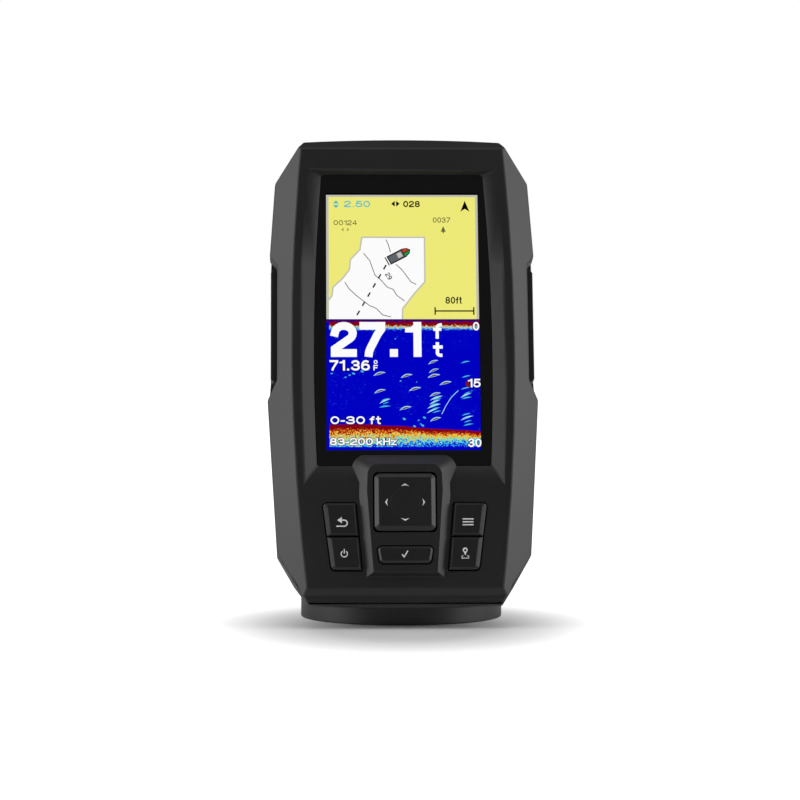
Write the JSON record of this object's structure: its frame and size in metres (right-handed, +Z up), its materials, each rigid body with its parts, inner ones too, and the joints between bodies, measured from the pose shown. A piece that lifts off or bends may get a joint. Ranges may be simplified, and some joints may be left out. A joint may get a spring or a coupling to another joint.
{
  "type": "fish finder",
  "caption": "Portrait sonar fish finder: a sealed display head with keys and a four-way pad on a tilting, swivelling quick-release mount.",
  "frame": {"origin": "centre of the mounting base's underside, on the swivel axis", "axes": "+Z up along the swivel axis; the screen faces -Y and leans back 15 degrees; +X is to the viewer's right, where the tilt knob is"},
  "size_m": [0.0984, 0.0866, 0.176],
  "materials": {
    "black_shell": "fine moulded grain",
    "soft_black": "matt grip",
    "screen_glass": "gloss window with a black border",
    "black_foam": "matt",
    "black_rubber": "matt",
    "screw_steel": "zinc plated",
    "nylon": "natural",
    "brass": "turned",
    "lit_screen": "lit display",
    "plated_sheet": "pressed sheet",
    "green_board": "solder mask",
    "ceramic": "fired",
    "socket_black": "moulded",
    "key_black": "moulded",
    "label_foil": "blank foil"
  },
  "bodies": {
    "base": {"mount_base": "black_shell", "swivel_ring": "nylon", "swivel_bolt": "screw_steel", "swivel_nut": "screw_steel"},
    "swivel": {"swivel_mount": "black_shell", "friction_washers": "nylon", "tilt_bolt": "screw_steel", "tilt_washer": "screw_steel"},
    "cradle": {"cradle": "black_shell", "hinge_bush": "nylon"},
    "knob": {"tilt_knob": "soft_black", "knob_insert": "brass"},
    "head": {"front_housing": "black_shell", "rear_housing": "black_shell", "case_gasket": "black_rubber", "case_screws": "screw_steel", "display_lens": "screen_glass", "lens_adhesive": "black_foam", "lcd_panel": "lit_screen", "lcd_frame": "plated_sheet", "main_board": "green_board", "board_screws": "screw_steel", "tactile_switches": "plated_sheet", "board_shield": "plated_sheet", "gps_antenna": "ceramic", "board_connector": "nylon", "beeper": "key_black", "keypad_membrane": "black_rubber", "sonar_socket": "socket_black", "socket_pins": "brass", "socket_wires": "black_rubber", "socket_nut": "socket_black", "socket_seal": "black_rubber", "vent_plug": "black_rubber", "rating_label": "label_foil"},
    "menu_key": {"menu_key": "key_black"},
    "waypoint_key": {"waypoint_key": "key_black"},
    "back_key": {"back_key": "key_black"},
    "power_key": {"power_key": "key_black"},
    "select_key": {"select_key": "key_black"},
    "pad_rocker": {"arrow_pad_pivot": "key_black"},
    "arrow_pad": {"arrow_pad": "key_black"}
  },
  "joints": [
    {"name": "swivel_turn", "type": "hinge", "parent": "base", "child": "swivel", "pos_m": [0, 0, 0.0107], "axis": [0, 0, 1], "range_deg": [-60, 60]},
    {"name": "tilt", "type": "hinge", "parent": "swivel", "child": "cradle", "pos_m": [0, 0.00946, 0.03966], "axis": [-1, 0, 0], "range_deg": [0, 50]},
    {"name": "knob_turn", "type": "hinge", "parent": "swivel", "child": "knob", "pos_m": [0.025, 0.00946, 0.03966], "axis": [1, 0, 0], "continuous": true},
    {"name": "head_release", "type": "slide", "parent": "cradle", "child": "head", "axis": [0, 0.2588, 0.9659], "range_m": [0, 0.06]},
    {"name": "menu_key_press", "type": "slide", "parent": "head", "child": "menu_key", "axis": [0, 0.9659, -0.2588], "range_m": [0, 0.0008], "stiffness_N_per_m": 2500, "springref_m": -0.0002},
    {"name": "waypoint_key_press", "type": "slide", "parent": "head", "child": "waypoint_key", "axis": [0, 0.9659, -0.2588], "range_m": [0, 0.0008], "stiffness_N_per_m": 2500, "springref_m": -0.0002},
    {"name": "back_key_press", "type": "slide", "parent": "head", "child": "back_key", "axis": [0, 0.9659, -0.2588], "range_m": [0, 0.0008], "stiffness_N_per_m": 2500, "springref_m": -0.0002},
    {"name": "power_key_press", "type": "slide", "parent": "head", "child": "power_key", "axis": [0, 0.9659, -0.2588], "range_m": [0, 0.0008], "stiffness_N_per_m": 2500, "springref_m": -0.0002},
    {"name": "select_key_press", "type": "slide", "parent": "head", "child": "select_key", "axis": [0, 0.9659, -0.2588], "range_m": [0, 0.0008], "stiffness_N_per_m": 2500, "springref_m": -0.0002},
    {"name": "pad_tip_up_down", "type": "hinge", "parent": "head", "child": "pad_rocker", "pos_m": [0, -0.03749, 0.04333], "axis": [1, 0, 0], "range_deg": [-3, 3], "stiffness_Nm_per_rad": 0.3},
    {"name": "pad_tip_left_right", "type": "hinge", "parent": "pad_rocker", "child": "arrow_pad", "pos_m": [0, -0.03749, 0.04333], "axis": [0, 0.2588, 0.9659], "range_deg": [-3, 3], "stiffness_Nm_per_rad": 0.3}
  ]
}
